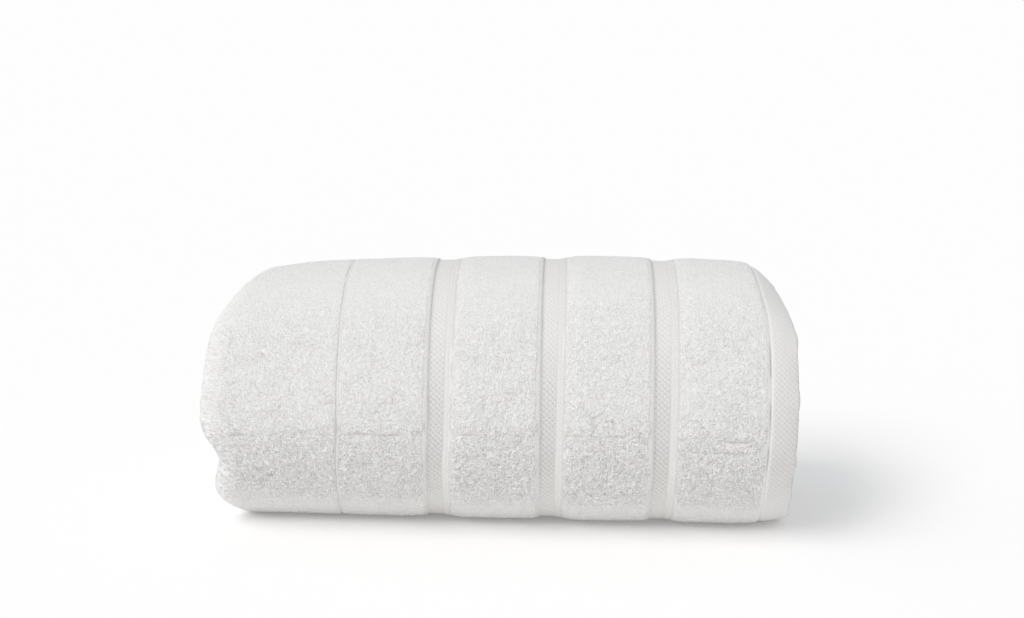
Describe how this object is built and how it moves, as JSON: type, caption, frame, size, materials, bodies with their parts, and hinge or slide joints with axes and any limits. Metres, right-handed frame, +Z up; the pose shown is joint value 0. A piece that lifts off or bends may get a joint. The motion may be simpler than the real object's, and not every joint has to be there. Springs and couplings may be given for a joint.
{
  "type": "rolled bath towel",
  "caption": "Plush bath towel folded lengthwise and rolled up, with flat-woven bands across the terry and its free end tucked under.",
  "frame": {"origin": "middle of the bounding box's base, on the surface the roll rests on", "axes": "+X along the roll, towards its hems; +Y from its front to its back; +Z up"},
  "size_m": [0.3554, 0.1728, 0.1574],
  "materials": {
    "white_terry": "looped cotton terry with flat-woven bands"
  },
  "bodies": {
    "root": {"towel": "white_terry"}
  },
  "joints": []
}
